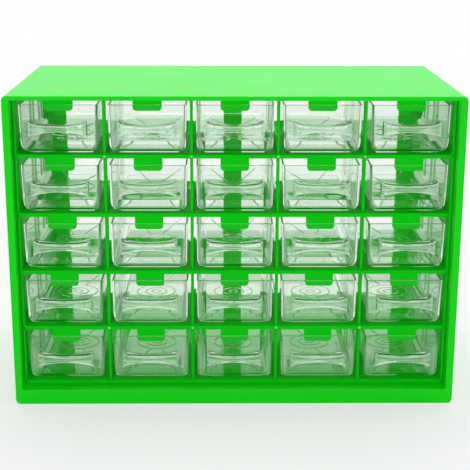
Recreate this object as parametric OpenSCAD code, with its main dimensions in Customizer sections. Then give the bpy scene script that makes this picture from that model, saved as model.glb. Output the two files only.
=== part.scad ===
// Parts bin cabinet: an open-fronted moulded casing, a one-piece lattice of
// shelves and posts set inside it, and a clear drawer in each cell.
// Origin: centre of the underside. +Z is up and the drawers pull out along -Y.
// Depths are measured back from the plane of the casing's front rim.

/* [Casing] */
// Overall width of the casing
casing_w = 300; // [280:1:330]
// Overall depth of the casing
casing_d = 158.5; // [140:0.5:180]
// Overall height of the casing
casing_h = 212.5; // [195:0.5:240]
// Thickness of each side wall
side_wall = 5; // [3:0.5:7]
// Thickness of the top wall
top_wall = 3; // [2:0.5:5]
// Thickness of the back wall
back_wall = 2.5; // [1.5:0.5:4]
// Height of the floor above the ground
floor_top = 10.4; // [7:0.1:14]
// Radius of the four long edges
edge_r = 3.2; // [1:0.1:5]
// Diameter of the ejector mark on the front of the floor
mark_dia = 4; // [2:0.5:5]
// Depth of the ejector mark
mark_depth = 0.3; // [0.1:0.1:0.8]
// Distance of the ejector mark from the left edge
mark_in = 13.5; // [8:0.5:40]

/* [Hollow base] */
// Thickness of the floor plate
floor_wall = 2.5; // [1.5:0.5:4]
// Thickness of the skirt at the front and back
skirt_wall = 3; // [2:0.5:5]
// Thickness of the ribs under the floor
base_rib_w = 2; // [1:0.5:4]
// Pockets from side to side
base_columns = 5; // [1:1:8]
// Pockets from front to back
base_rows = 3; // [1:1:6]

/* [Back windows] */
// Windows from side to side
window_columns = 2; // [1:1:4]
// Windows from bottom to top
window_rows = 4; // [2:1:6]
// Width of the upright between windows
window_mullion = 14.2; // [8:0.2:30]
// Height of the bars between windows
window_bar = 13; // [6:0.5:18]
// Wall left at each side of the windows
window_side = 15.5; // [6:0.5:40]
// Wall left under the lowest windows
window_foot = 14.5; // [6:0.5:25]
// Wall left over the highest windows
window_head = 4.4; // [3:0.2:15]
// Corner radius of the windows
window_r = 1.5; // [0.5:0.1:4]

/* [Lattice] */
// Cells from side to side
columns = 5; // [3:1:6]
// Cells from bottom to top
rows = 5; // [3:1:6]
// Depth of the lattice's front behind the rim
lattice_inset = 10.5; // [8:0.5:20]
// Extra room at each side, past equal cells
end_margin = 2; // [1.8:0.1:4]
// Clearance to the casing's side and top walls
lattice_gap = 0.2; // [0.1:0.05:0.5]
// Height of the shelf bars
bar_h = 2.9; // [2:0.1:5]
// Front to back size of the shelf bars
bar_depth = 8; // [5:0.5:14]
// Width of the posts between the columns
post_w = 2; // [1.2:0.1:4]
// Step from the bars' faces back to the posts'
post_step = 2; // [0.5:0.5:4]
// Thickness of the rails along the side walls
end_rail_w = 1.6; // [1:0.1:2]
// Thickness of the rail under the top wall
top_rail_h = 1.4; // [1:0.1:2]
// Fillet where the posts meet the bars
cell_r = 1.2; // [0.5:0.1:2]
// Diameter of the gate marks on the post junctions
gate_dia = 1.6; // [1:0.1:2]
// Height of the gate marks
gate_h = 0.4; // [0.1:0.1:1]

/* [Drawer ledges] */
// Depth at which the ledges end
ledge_end = 83; // [50:1:110]
// Width of the ledge under each side of a drawer
ledge_w = 7.6; // [5:0.1:12]
// Thickness of the ledges
ledge_h = 2.2; // [1.5:0.1:2.8]
// Height of the guide ribs that part the drawers
guide_h = 3; // [1:0.5:6]

/* [Stop tabs] */
// Width of each tab
tab_w = 19; // [8:0.5:26]
// Reach of each tab below the shelf bar over it
tab_drop = 8.1; // [7:0.1:10]
// Thickness of each tab
tab_t = 1.8; // [1:0.1:3]
// Radius of the tab's lower corners
tab_r = 2.4; // [1:0.1:3]

/* [Drawer] */
// Thickness of the side walls
drawer_wall = 1.3; // [0.8:0.1:2]
// Thickness of the front and back walls
drawer_end_wall = 1.6; // [1:0.1:2.5]
// Thickness of the floor
drawer_floor = 1.5; // [0.8:0.1:2.5]
// Gap to the post at each side of the rim
drawer_side_gap = 1.85; // [1:0.05:3]
// Gap from the rim to the shelf bar above
drawer_top_gap = 3.9; // [2.5:0.1:5]
// Gap to the casing's back wall
drawer_back_gap = 2.5; // [0.5:0.5:6]
// Running clearance over the shelf
drawer_lift = 0.3; // [0.2:0.05:0.6]
// Gap from the closed front wall to the tab
drawer_stop_gap = 0.4; // [0.3:0.1:1]
// Lean of each side wall, bottom to rim
drawer_lean = 0.7; // [0.2:0.1:1.5]
// Corner radius along the bottom's sides
belly_r = 6.5; // [3:0.5:9]
// Radius of the front wall's lower edge
nose_r = 11; // [4:0.5:13]
// Radius of the back wall's lower edge
heel_r = 3; // [2.5:0.5:8]

/* [Divider slots] */
// Distance from the drawer's front to the first slot
first_slot = 40; // [30:1:50]
// Distance from the drawer's front to the second slot
second_slot = 76; // [68:1:90]
// Space between the two ribs of a slot
slot_space = 11; // [3:0.5:14]
// Width of each rib
slot_rib_w = 1; // [0.6:0.1:2]
// Reach of each rib into the drawer
slot_rib_h = 0.7; // [0.3:0.1:1.2]
// Height of the ribs' feet over the drawer's underside
slot_foot = 9; // [9:0.5:14]

/* [Drawer floor pattern] */
// Outside radius of the small ring
small_ring_r = 3.5; // [2.5:0.1:5]
// Outside radius of the middle ring
middle_ring_r = 8; // [6.5:0.1:10]
// Outside radius of the large ring
large_ring_r = 14.5; // [12:0.1:16]
// Width of the rings and lines
pattern_w = 0.8; // [0.5:0.1:1.5]
// Height of the rings and lines
pattern_h = 0.35; // [0.2:0.05:0.6]
// Gap from the ends of the lines to the edges of the flat floor
pattern_gap = 2; // [1:0.5:5]

/* [Handle] */
// Width of the handle
handle_w = 37.5; // [24:0.5:40]
// Height of the grip at its ends
handle_end_h = 8; // [6:0.2:9]
// Height of the grip at its waist
handle_waist_h = 3.9; // [2.5:0.1:5]
// Height of the two end plates
handle_plate_h = 9.6; // [8:0.2:10]
// Thickness of the two end plates
handle_plate_w = 1.4; // [0.8:0.1:3]
// Reach of the handle in front of the drawer
handle_out = 7; // [4:0.5:7.5]
// Fall of the grip's front face from its ridge
handle_slope = 0.7; // [0.2:0.1:1.5]
// Height of the handle's middle over the bottom
handle_z = 18.8; // [18.5:0.1:20]

/* [Hidden] */
$fn = 96;
green = [0.05, 0.76, 0.07];
lattice_green = [0.07, 0.66, 0.08];
clear = [0.92, 0.96, 0.93, 0.45];

// Overlap that carries one solid into the next, and cuts past a face
merge = 0.5;
past = 1;

// Casing, inside
inner_w = casing_w - 2 * side_wall;
ceiling = casing_h - top_wall;
back_d = casing_d - back_wall;

// Pockets of the hollow base
pocket_w = (inner_w - (base_columns - 1) * base_rib_w) / base_columns;
pocket_d = (casing_d - 2 * skirt_wall - (base_rows - 1) * base_rib_w) / base_rows;

// Back windows
window_w = (inner_w - 2 * window_side - (window_columns - 1) * window_mullion) / window_columns;
window_z = floor_top + window_foot;
window_h = (ceiling - window_head - window_z - (window_rows - 1) * window_bar) / window_rows;

// Lattice
lattice_w = inner_w - 2 * lattice_gap;
lattice_top = ceiling - lattice_gap;
bar_back = lattice_inset + bar_depth;
col_pitch = (inner_w - 2 * end_margin) / columns;
row_clear = (ceiling - floor_top - rows * bar_h) / rows;
row_pitch = row_clear + bar_h;

// Drawer, with the wall's half width found at any height
drawer_w = col_pitch - post_w - 2 * drawer_side_gap;
drawer_h = row_clear - drawer_lift - drawer_top_gap;
drawer_front = lattice_inset - drawer_stop_gap - drawer_end_wall;
drawer_back = back_d - drawer_back_gap;
drawer_mid = (drawer_front + drawer_back) / 2;
lean_angle = atan(drawer_lean / drawer_h);
function wall_x(z, inset) = drawer_w / 2 - inset - (drawer_h - z) * tan(lean_angle);

// Columns are counted from the left and rows from the top, both from 1
function post_x(i) = (i - columns / 2) * col_pitch;
function cell_left(col) = col == 1 ? -lattice_w / 2 + end_rail_w : post_x(col - 1) + post_w / 2;
function cell_right(col) = col == columns ? lattice_w / 2 - end_rail_w : post_x(col) - post_w / 2;
function cell_x(col) = (cell_left(col) + cell_right(col)) / 2;
function shelf_z(row) = floor_top + bar_h + (rows - row) * row_pitch;
function cell_top(row) = row == 1 ? lattice_top - top_rail_h : shelf_z(row) + row_clear;
function drawer_name(row, col) = str("drawer_r", row, "_c", col);

// Box between two corners, each given as across, depth and height
module block(low, high)
    translate([low[0], low[1] - casing_d / 2, low[2]])
        cube(high - low);

// Runs an outline of across and height from one depth back to another
module along_depth(from, to)
    translate([0, to - casing_d / 2, 0])
        rotate([90, 0, 0])
            linear_extrude(to - from)
                children();

// Runs an outline of depth and height across a width, centred on the part
module across(width)
    translate([0, -casing_d / 2, 0])
        rotate([90, 0, 90])
            linear_extrude(width, center = true)
                children();

// Rectangle with four round corners, from its lower left corner
module rounded(size, r) {
    translate([r, 0])
        square([size[0] - 2 * r, size[1]]);
    translate([0, r])
        square([size[0], size[1] - 2 * r]);
    for (x = [r, size[0] - r], y = [r, size[1] - r])
        translate([x, y])
            circle(r);
}

// Pockets that leave a skirt, a floor plate and ribs under the casing
module base_pockets()
    for (i = [0 : base_columns - 1], j = [0 : base_rows - 1]) {
        x = -inner_w / 2 + i * (pocket_w + base_rib_w);
        d = skirt_wall + j * (pocket_d + base_rib_w);
        block([x, d, -past], [x + pocket_w, d + pocket_d, floor_top - floor_wall]);
    }

// Windows through the back wall
module back_windows()
    along_depth(back_d - past, casing_d + past)
        for (i = [0 : window_columns - 1], j = [0 : window_rows - 1])
            translate([
                -inner_w / 2 + window_side + i * (window_w + window_mullion),
                window_z + j * (window_h + window_bar)
            ])
                rounded([window_w, window_h], window_r);

module casing()
    color(green)
        difference() {
            along_depth(0, casing_d)
                translate([-casing_w / 2, 0])
                    rounded([casing_w, casing_h], edge_r);
            block([-inner_w / 2, -past, floor_top], [inner_w / 2, back_d, ceiling]);
            base_pockets();
            back_windows();
            along_depth(-past, mark_depth)
                translate([mark_in - casing_w / 2, floor_top / 2])
                    circle(d = mark_dia);
        }

// Ledge with its guide rib, from one edge to the other at a row's shelf
module ledge(left, right, guide_left, guide_right, z) {
    block([left, bar_back - merge, z - ledge_h], [right, ledge_end, z]);
    block([guide_left, bar_back - merge, z - merge], [guide_right, ledge_end, z + guide_h]);
}

// Ledges of one row: one beside each side wall and one behind each post
module row_ledges(z) {
    edge = lattice_w / 2;
    inner = edge - end_rail_w;
    ledge(-edge, -inner + ledge_w, -edge, -inner, z);
    ledge(inner - ledge_w, edge, inner, edge, z);
    for (i = [1 : columns - 1])
        ledge(
            post_x(i) - post_w / 2 - ledge_w, post_x(i) + post_w / 2 + ledge_w,
            post_x(i) - post_w / 2, post_x(i) + post_w / 2, z
        );
}

// Tongue that hangs into the drawer below it and stops its travel
module stop_tab(x, top, bottom)
    along_depth(lattice_inset, lattice_inset + tab_t)
        translate([x - tab_w / 2, bottom]) {
            rounded([tab_w, top - bottom], tab_r);
            translate([0, tab_r])
                square([tab_w, top - bottom - tab_r]);
        }

// Plate with a round-cornered hole for each cell
module post_plate()
    along_depth(lattice_inset + post_step, bar_back)
        difference() {
            translate([-lattice_w / 2, floor_top])
                square([lattice_w, lattice_top - floor_top]);
            for (row = [1 : rows], col = [1 : columns])
                translate([cell_left(col), shelf_z(row)])
                    rounded([cell_right(col) - cell_left(col), cell_top(row) - shelf_z(row)], cell_r);
        }

// Fronts of the bars and rails, which stand forward of the posts
module bar_fronts()
    along_depth(lattice_inset, lattice_inset + post_step + merge) {
        for (row = [1 : rows])
            translate([-lattice_w / 2, shelf_z(row) - bar_h])
                square([lattice_w, bar_h]);
        translate([-lattice_w / 2, lattice_top - top_rail_h])
            square([lattice_w, top_rail_h]);
        for (x = [-lattice_w / 2, lattice_w / 2 - end_rail_w])
            translate([x, floor_top])
                square([end_rail_w, lattice_top - floor_top]);
    }

// Marks of the gates, in front of the posts on the bars of two rows
module gate_marks()
    along_depth(lattice_inset - gate_h, lattice_inset + merge)
        for (i = [1 : columns - 1], row = [1, rows - 1])
            translate([post_x(i), shelf_z(row) - bar_h / 2])
                circle(d = gate_dia);

module divider_lattice()
    color(lattice_green) {
        post_plate();
        bar_fronts();
        gate_marks();
        for (row = [1 : rows]) {
            row_ledges(shelf_z(row));
            for (col = [1 : columns])
                stop_tab(cell_x(col), cell_top(row) + merge, shelf_z(row) + row_clear - tab_drop);
        }
    }

// Leaning walls with round lower corners, set in from the drawer's outside
module tub_section(inset, base, top, r) {
    side_r = r * cos(lean_angle);
    turn_z = base + r - r * sin(lean_angle);
    centre_x = wall_x(turn_z, inset) - side_r;
    for (side = [-1, 1])
        translate([side * centre_x, base + r])
            circle(r);
    polygon([
        [-centre_x, base], [centre_x, base],
        [wall_x(turn_z, inset), turn_z], [wall_x(top, inset), top],
        [-wall_x(top, inset), top], [-wall_x(turn_z, inset), turn_z]
    ]);
}

// Side view of the drawer, with a large nose and a small heel
module tub_side(inset, base, top, nose, heel) {
    front = drawer_front + inset;
    back = drawer_back - inset;
    translate([front + nose, base + nose])
        circle(nose);
    translate([back - heel, base + heel])
        circle(heel);
    polygon([
        [front, base + nose], [front + nose, base], [back - heel, base],
        [back, base + heel], [back, top], [front, top]
    ]);
}

// Grip with hollowed finger edges between two end plates
module handle() {
    half_chord = handle_w / 2 - handle_plate_w;
    rise = (handle_end_h - handle_waist_h) / 2;
    hollow_r = (half_chord * half_chord + rise * rise) / (2 * rise);
    ridge = drawer_front - handle_out;
    root = drawer_front + drawer_end_wall / 2;
    intersection() {
        along_depth(ridge - past, root)
            difference() {
                translate([-handle_w / 2, handle_z - handle_end_h / 2])
                    square([handle_w, handle_end_h]);
                for (side = [-1, 1])
                    translate([0, handle_z + side * (handle_waist_h / 2 + hollow_r)])
                        circle(hollow_r, $fn = 360);
            }
        across(handle_w + past)
            polygon([
                [ridge, handle_z],
                [ridge + handle_slope, handle_z - handle_end_h],
                [root, handle_z - handle_end_h],
                [root, handle_z + handle_end_h],
                [ridge + handle_slope, handle_z + handle_end_h]
            ]);
    }
    along_depth(ridge + handle_slope, root)
        for (x = [-handle_w / 2, handle_w / 2 - handle_plate_w])
            translate([x, handle_z - handle_plate_h / 2])
                square([handle_plate_w, handle_plate_h]);
}

// Ribs of the slots that take a divider, on both leaning side walls
module slot_ribs() {
    top = drawer_h - merge;
    for (slot = [first_slot, second_slot], pair = [0, 1], side = [-1, 1]) {
        depth = drawer_front + slot + pair * (slot_space + slot_rib_w);
        along_depth(depth, depth + slot_rib_w)
            polygon([
                [side * wall_x(slot_foot, drawer_wall + slot_rib_h), slot_foot],
                [side * wall_x(slot_foot, drawer_wall / 2), slot_foot],
                [side * wall_x(top, drawer_wall / 2), top],
                [side * wall_x(top, drawer_wall + slot_rib_h), top]
            ]);
    }
}

// Raised rings in the middle of the floor, and lines from them to its corners
module floor_pattern() {
    half_x = wall_x(belly_r, 0) - belly_r - pattern_gap;
    half_y = (drawer_back - drawer_front) / 2 - nose_r - pattern_gap;
    reach = norm([half_x, half_y]);
    height = merge + pattern_h;
    translate([0, drawer_mid - casing_d / 2, drawer_floor - merge]) {
        for (r = [small_ring_r, middle_ring_r, large_ring_r])
            difference() {
                cylinder(r = r, h = height);
                translate([0, 0, -past])
                    cylinder(r = r - pattern_w, h = height + 2 * past);
            }
        for (side = [-1, 1])
            rotate([0, 0, side * atan(half_x / half_y)])
                difference() {
                    translate([-pattern_w / 2, -reach, 0])
                        cube([pattern_w, 2 * reach, height]);
                    translate([0, 0, -past])
                        cylinder(r = large_ring_r - pattern_w / 2, h = height + 2 * past);
                }
    }
}

module drawer(row, col)
    color(clear)
        translate([cell_x(col), 0, shelf_z(row) + drawer_lift]) {
            difference() {
                intersection() {
                    along_depth(drawer_front - past, drawer_back + past)
                        tub_section(0, 0, drawer_h, belly_r);
                    across(drawer_w + past)
                        tub_side(0, 0, drawer_h + past, nose_r, heel_r);
                }
                intersection() {
                    along_depth(drawer_front - past, drawer_back + past)
                        tub_section(drawer_wall, drawer_floor, drawer_h + past, belly_r - drawer_wall);
                    across(drawer_w + past)
                        tub_side(
                            drawer_end_wall, drawer_floor, drawer_h + 2 * past,
                            nose_r - drawer_end_wall, heel_r - drawer_end_wall
                        );
                }
            }
            slot_ribs();
            floor_pattern();
            handle();
        }

casing();
divider_lattice();
for (row = [1 : rows], col = [1 : columns])
    drawer(row, col);
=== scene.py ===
"""Dresses the parts bin cabinet: a green casing, its lattice and the clear drawers."""

import logging
import math
from dataclasses import dataclass, field
from enum import Enum
from functools import reduce
from itertools import product
from typing import Any, Sequence

import bmesh
import bpy
import numpy as np
from mathutils import Matrix, Vector


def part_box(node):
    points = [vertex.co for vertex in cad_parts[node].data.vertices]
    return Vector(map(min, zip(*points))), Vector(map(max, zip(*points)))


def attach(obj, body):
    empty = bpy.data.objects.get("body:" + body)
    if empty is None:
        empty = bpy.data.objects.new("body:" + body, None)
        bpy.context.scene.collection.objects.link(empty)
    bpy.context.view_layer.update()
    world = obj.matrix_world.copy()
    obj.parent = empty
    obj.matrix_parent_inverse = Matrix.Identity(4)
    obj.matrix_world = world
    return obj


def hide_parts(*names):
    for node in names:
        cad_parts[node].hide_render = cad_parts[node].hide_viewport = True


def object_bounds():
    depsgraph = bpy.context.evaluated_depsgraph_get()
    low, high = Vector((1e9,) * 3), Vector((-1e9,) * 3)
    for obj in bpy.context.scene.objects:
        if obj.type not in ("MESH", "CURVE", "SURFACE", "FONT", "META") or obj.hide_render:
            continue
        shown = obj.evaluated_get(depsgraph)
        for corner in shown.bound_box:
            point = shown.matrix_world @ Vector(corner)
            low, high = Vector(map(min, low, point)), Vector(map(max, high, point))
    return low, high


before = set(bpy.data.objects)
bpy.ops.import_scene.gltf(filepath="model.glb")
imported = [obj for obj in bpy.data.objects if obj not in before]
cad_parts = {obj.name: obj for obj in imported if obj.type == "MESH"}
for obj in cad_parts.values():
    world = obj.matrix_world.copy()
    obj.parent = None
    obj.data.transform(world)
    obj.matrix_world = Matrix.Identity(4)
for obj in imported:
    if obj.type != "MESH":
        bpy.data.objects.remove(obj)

LOG = logging.getLogger("parts_bin_cabinet")
MM = 0.001
QUARTER_TURN = math.pi / 2
CAD_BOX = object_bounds()
RIM_Y = CAD_BOX[0][1] / MM

WELD = 0.001 * MM
SLIVER = 0.0001 * MM
SEAM_END = 1e-4
SEAM_DIGITS = 7
SHARP = math.radians(50)
FLATS_FIRST = 100

Array = np.ndarray
Box = Sequence[float]
Span = tuple[float, float]
Triple = tuple[float, float, float]

WHITE: Triple = (1, 1, 1)
NOISE_MIDDLE = 0.5
ALL_WAYS: Triple = (1, 1, 1)
FIRST_COLOUR, SECOND_COLOUR, MIXED_COLOUR = 6, 7, 2


class Ray(Enum):
    """What the light path tells of a ray."""

    SEEN = "Is Camera Ray"
    MIRRORED = "Is Glossy Ray"
    REFRACTED = "Is Transmission Ray"
    SHADOW = "Is Shadow Ray"
    DIFFUSE = "Is Diffuse Ray"
    TIMES_MIRRORED = "Glossy Depth"


# ---- surfaces


def rounded_outline(box: Box, radius: float, steps: int) -> Array:
    """Outline of a rectangle with round corners.

    A corner's points are its centre, in from the corner by the radius, plus the radius
    times a direction that turns by a quarter.

    Args:
        box: lowest and highest across, then lowest and highest upward.
        radius: corner radius, cut to half of the rectangle.
        steps: segments in each corner.

    Returns:
        Rows of across and up, counterclockwise from the lower right corner.
    """
    left, right, low, high = box
    half_x, half_z = (right - left) / 2, (high - low) / 2
    radius = max(0.0, min(radius, half_x, half_z))
    turn = np.linspace(0, QUARTER_TURN, steps + 1)
    angle = (np.arange(-1, 3)[:, None] * QUARTER_TURN + turn).ravel()
    across = np.repeat([1, 1, -1, -1], steps + 1)
    upward = np.repeat([-1, 1, 1, -1], steps + 1)
    x = (left + right) / 2 + across * (half_x - radius) + radius * np.cos(angle)
    z = (low + high) / 2 + upward * (half_z - radius) + radius * np.sin(angle)
    return np.stack([x, z], axis=1)


def quarter(edge: float, steps: int) -> list[Span]:
    """Steps of an edge's quarter round, from the face to the side.

    The inset is edge * (1 - sin t) and the depth edge * (1 - cos t), from t = 0 at the
    face to t = 90 degrees at the side.

    Args:
        edge: the edge's radius.
        steps: segments in the quarter.

    Returns:
        Pairs of inset from the side and depth below the face.
    """
    turn = np.linspace(0, QUARTER_TURN, steps + 1)
    return list(zip(edge * (1 - np.sin(turn)), edge * (1 - np.cos(turn))))


def rounded_run(start: float, end: float, edge: float, steps: int) -> list[Span]:
    """Steps of a side with a quarter round at each end.

    Args:
        start: where the side starts.
        end: where it ends.
        edge: radius of both edges.
        steps: segments in each quarter.

    Returns:
        Pairs of inset from the side and place along it.
    """
    way = math.copysign(1, end - start)
    bend = quarter(edge, steps)
    into = [(inset, start + way * down) for inset, down in bend]
    return into + [(inset, end - way * down) for inset, down in bend[::-1]]


def bays(border: Span, run: Span, gap: float, count: int) -> list[Box]:
    """Equal openings in a row, each with its share of the wall around.

    An opening's width is what the gaps leave of the run, over the count.

    Args:
        border: start and end of the wall.
        run: start of the first opening and end of the last.
        gap: wall between two openings.
        count: how many openings there are.

    Returns:
        For each, start and end of its share, and its own start and end.
    """
    clear = (run[1] - run[0] - (count - 1) * gap) / count
    starts = run[0] + np.arange(count) * (clear + gap)
    shares = [border[0], *(starts[1:] - gap / 2), border[1]]
    return [(*shares[i:i + 2], start, start + clear) for i, start in enumerate(starts)]


def close_seams(shape: bmesh.types.BMesh) -> None:
    """Splits open edges where a finer neighbour has points, so that the two can weld.

    A point's share of the way along an edge is its offset from the start times the
    edge's direction, over the edge's length squared. It is on the edge when what is
    left of the offset is less than the weld distance.

    Args:
        shape: the welded mesh.
    """
    edges = [edge for edge in shape.edges if edge.is_boundary]
    if not edges:
        return
    ends = np.array([[end.co for end in edge.verts] for edge in edges])
    start, along = ends[:, :1], ends[:, 1:] - ends[:, :1]
    offset = ends.reshape(1, -1, 3) - start
    share = (offset * along).sum(axis=2) / (along ** 2).sum(axis=2)
    left_over = np.linalg.norm(offset - share[..., None] * along, axis=2)
    on_edge = (left_over < WELD) & (share > SEAM_END) & (share < 1 - SEAM_END)
    for edge, places, on in zip(edges, share.round(SEAM_DIGITS), on_edge):
        corner, before = edge.verts[0], 0.0
        for place in np.unique(places[on]):
            step = (place - before) / (1 - before)
            corner, before = bmesh.utils.edge_split(edge, corner, step)[1], place


class Surface:
    """Gathers grids of points, in millimetres, into one welded mesh."""

    def __init__(self) -> None:
        """Starts with no points."""
        self.points: list[Array] = []
        self.quads: list[Array] = []
        self.painted_highlight: list[Array] = []
        self.count = 0

    def grid(
        self, rows: Array, closed: bool = True, leave_out: Array | None = None,
        painted_highlight: Array | float = 0.0,
    ) -> None:
        """Adds a grid whose neighbours form quads.

        Point (v, u) joins (v, u + 1), (v + 1, u + 1) and (v + 1, u), so the face looks
        along the direction of u crossed with that of v.

        Args:
            rows: points, of shape (rows, columns, 3).
            closed: whether the last column joins the first.
            leave_out: mask of quads, of shape (rows - 1, columns), that stay open.
            painted_highlight: how much painted highlight each point takes, 0 to 1.
        """
        high, wide = rows.shape[:2]
        index = np.arange(high * wide).reshape(high, wide)
        after = np.roll(index, -1, axis=1)
        if not closed:
            index, after = index[:, :-1], after[:, :-1]
        quads = np.stack([index[:-1], after[:-1], after[1:], index[1:]], axis=-1)
        if leave_out is not None:
            quads = quads[~leave_out]
        self.points.append(rows.reshape(-1, 3))
        self.quads.append(quads.reshape(-1, 4) + self.count)
        self.painted_highlight.append(np.broadcast_to(painted_highlight, (high, wide)).ravel())
        self.count += high * wide

    def loft(
        self, rings: Sequence[tuple[Box, float, float, float]], corner: int,
        lying: bool = False, leave_out: Array | None = None,
    ) -> None:
        """Adds round-cornered rectangles, each joined to the next.

        A rectangle's sides move in by its inset, and so do the centres of its corners.

        Args:
            rings: for each, its box, its inset, its corner radius before the inset, and
                its depth behind the casing's rim, or its height where they lie.
            corner: segments in each corner.
            lying: whether the rectangles lie flat, and don't stand upright.
            leave_out: mask of quads that stay open.
        """
        move_in = np.array([1, -1, 1, -1])
        flat = np.stack([
            rounded_outline(np.asarray(box) + inset * move_in, radius - inset, corner)
            for box, inset, radius, _ in rings
        ])
        place = np.array([ring[-1] for ring in rings], float)
        place = np.broadcast_to(place[:, None], flat.shape[:2])
        across, other = flat[..., 0], flat[..., 1]
        depth, height = (other, place) if lying else (place, other)
        rows = np.stack([across, depth + RIM_Y, height], axis=-1)
        self.grid(rows, leave_out=leave_out)

    def block(
        self, box: Box, depth: Span, edge: float, radius: float = 0.0, steps: int = 2,
        corner: int = 2,
    ) -> None:
        """Adds a solid that runs from back to front with all its edges rounded.

        Both ends close on the rectangle's middle line, where the inset is half of it.

        Args:
            box: left, right, lowest and highest.
            depth: depths of its front and back.
            edge: radius of the edges.
            radius: radius of the long corners.
            steps: segments in each rounded edge.
            corner: segments in each long corner.
        """
        left, right, low, high = box
        front, back = depth
        half = min(right - left, high - low) / 2
        run = [(half, back), *rounded_run(back, front, edge, steps), (half, front)]
        self.loft([(box, inset, max(radius, edge), at) for inset, at in run], corner)

    def holed_plate(
        self, box: Box, hole: Box, depth: Span, edge: float, radius: float
    ) -> None:
        """Adds a plate with a round-cornered hole, open round its outside.

        It goes from the plate's border to the hole, back along the hole's wall and out
        to the border again, with a quarter round at both mouths.

        Args:
            box: left, right, lowest and highest of the plate.
            hole: the same of the hole.
            depth: depths of its front and back.
            edge: radius of the hole's edges.
            radius: corner radius of the hole.
        """
        steps, corner = 2, 4
        front, back = depth
        run = rounded_run(front, back, edge, steps)
        wall = [(hole, -outset, radius, at) for outset, at in run]
        self.loft([(box, 0, 0, front), *wall, (box, 0, 0, back)], corner)

    def piece(self, name: str) -> bpy.types.Object:
        """Makes the mesh and its object.

        Args:
            name: the piece's name.

        Returns:
            The new piece, smooth, welded and with its place in its mesh.
        """
        mesh = bpy.data.meshes.new(name)
        points = np.concatenate(self.points) * MM
        mesh.from_pydata(points.tolist(), [], np.concatenate(self.quads).tolist())
        mesh.validate()
        # The painted highlight of each point goes on the mesh as an attribute.
        painted_highlight = mesh.attributes.new("painted_highlight", "FLOAT", "POINT")
        painted_highlight.data.foreach_set("value", np.concatenate(self.painted_highlight).astype(np.float32))
        shape = bmesh.new()
        shape.from_mesh(mesh)
        bmesh.ops.remove_doubles(shape, verts=shape.verts, dist=WELD)
        bmesh.ops.dissolve_degenerate(shape, edges=shape.edges, dist=SLIVER)
        close_seams(shape)
        bmesh.ops.remove_doubles(shape, verts=shape.verts, dist=WELD)
        shape.to_mesh(mesh)
        shape.free()
        mesh.shade_smooth()
        mesh.set_sharp_from_angle(angle=SHARP)
        made = bpy.data.objects.new(name, mesh)
        bpy.context.scene.collection.objects.link(made)
        flats = made.modifiers.new("even flats", "WEIGHTED_NORMAL")
        flats.weight = FLATS_FIRST
        flats.keep_sharp = True
        return made


# ---- materials


class Value:
    """A shader socket on which Python's operators add Math nodes."""

    def __init__(self, shader: "Shader", socket: bpy.types.NodeSocket) -> None:
        """Wraps one output socket of the shader's node tree."""
        self.shader = shader
        self.socket = socket

    def _math(self, operation: str, first: Any, second: Any) -> "Value":
        """Adds one Math node on two values."""
        settings = {"operation": operation}
        return self.shader.node("ShaderNodeMath", settings, {0: first, 1: second})

    def __add__(self, other: Any) -> "Value":
        """Sum."""
        return self._math("ADD", self, other)

    __radd__ = __add__

    def __sub__(self, other: Any) -> "Value":
        """Difference."""
        return self._math("SUBTRACT", self, other)

    def __rsub__(self, other: Any) -> "Value":
        """Difference, from the right."""
        return self._math("SUBTRACT", other, self)

    def __mul__(self, other: Any) -> "Value":
        """Product."""
        return self._math("MULTIPLY", self, other)

    __rmul__ = __mul__

    def above(self, level: float) -> "Value":
        """One where the value is greater than the level, and zero elsewhere."""
        return self._math("GREATER_THAN", self, level)

    def most(self, other: Any) -> "Value":
        """The larger of the two values."""
        return self._math("MAXIMUM", self, other)

    def least(self, other: Any) -> "Value":
        """The smaller of the two values."""
        return self._math("MINIMUM", self, other)


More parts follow.
